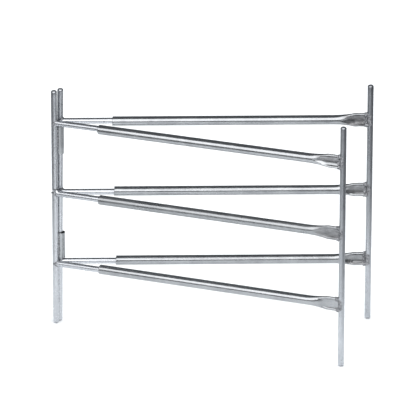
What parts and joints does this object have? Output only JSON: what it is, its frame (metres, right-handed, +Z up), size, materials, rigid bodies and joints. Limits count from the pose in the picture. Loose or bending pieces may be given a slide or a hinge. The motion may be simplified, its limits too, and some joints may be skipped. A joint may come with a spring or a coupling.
{
  "type": "livestock panel gate",
  "caption": "Pair of hinged steel stock panels whose rails slide inside tubes, so each panel extends; stands in a V on the lower ends of its uprights.",
  "frame": {"origin": "centre of the hinge post's foot, on the ground", "axes": "+X along the back panel towards its end post, +Y away from the front panel, +Z up"},
  "size_m": [1.1689, 0.5059, 0.901],
  "materials": {
    "bar_steel": "galvanised, satin",
    "tube_steel": "galvanised, satin",
    "weld_metal": "rough weld under zinc"
  },
  "bodies": {
    "back_rail_frame": {"back_post_and_middle_rail": "bar_steel", "back_lower_post": "bar_steel", "back_high_rail": "bar_steel", "back_low_rail": "bar_steel", "back_high_rail_weld": "weld_metal", "back_low_rail_weld": "weld_metal", "back_lower_post_weld": "weld_metal"},
    "back_tube_frame": {"back_end_post": "bar_steel", "back_high_tube_piece": "tube_steel", "back_middle_tube_piece": "tube_steel", "back_low_tube_piece": "tube_steel", "back_high_tube_weld": "weld_metal", "back_middle_tube_weld": "weld_metal", "back_low_tube_weld": "weld_metal"},
    "front_rail_frame": {"front_post_and_middle_rail": "bar_steel", "front_lower_post": "bar_steel", "front_high_rail": "bar_steel", "front_low_rail": "bar_steel", "front_high_rail_weld": "weld_metal", "front_low_rail_weld": "weld_metal", "front_lower_post_weld": "weld_metal", "upper_hinge_sleeve": "tube_steel", "lower_hinge_sleeve": "tube_steel", "upper_sleeve_weld": "weld_metal", "lower_sleeve_weld": "weld_metal"},
    "front_tube_frame": {"front_end_post": "bar_steel", "front_high_tube_piece": "tube_steel", "front_middle_tube_piece": "tube_steel", "front_low_tube_piece": "tube_steel", "front_high_tube_weld": "weld_metal", "front_middle_tube_weld": "weld_metal", "front_low_tube_weld": "weld_metal"}
  },
  "joints": [
    {"name": "back_panel_slide", "type": "slide", "parent": "back_rail_frame", "child": "back_tube_frame", "axis": [1, 0, 0], "range_m": [-0.13, 0.5]},
    {"name": "panel_hinge", "type": "hinge", "parent": "back_rail_frame", "child": "front_rail_frame", "pos_m": [0.00654, 0, 0.5], "axis": [0, 0, 1], "range_deg": [-156, 13]},
    {"name": "front_panel_slide", "type": "slide", "parent": "front_rail_frame", "child": "front_tube_frame", "axis": [0.9135, -0.4067, 0], "range_m": [-0.13, 0.5]}
  ]
}
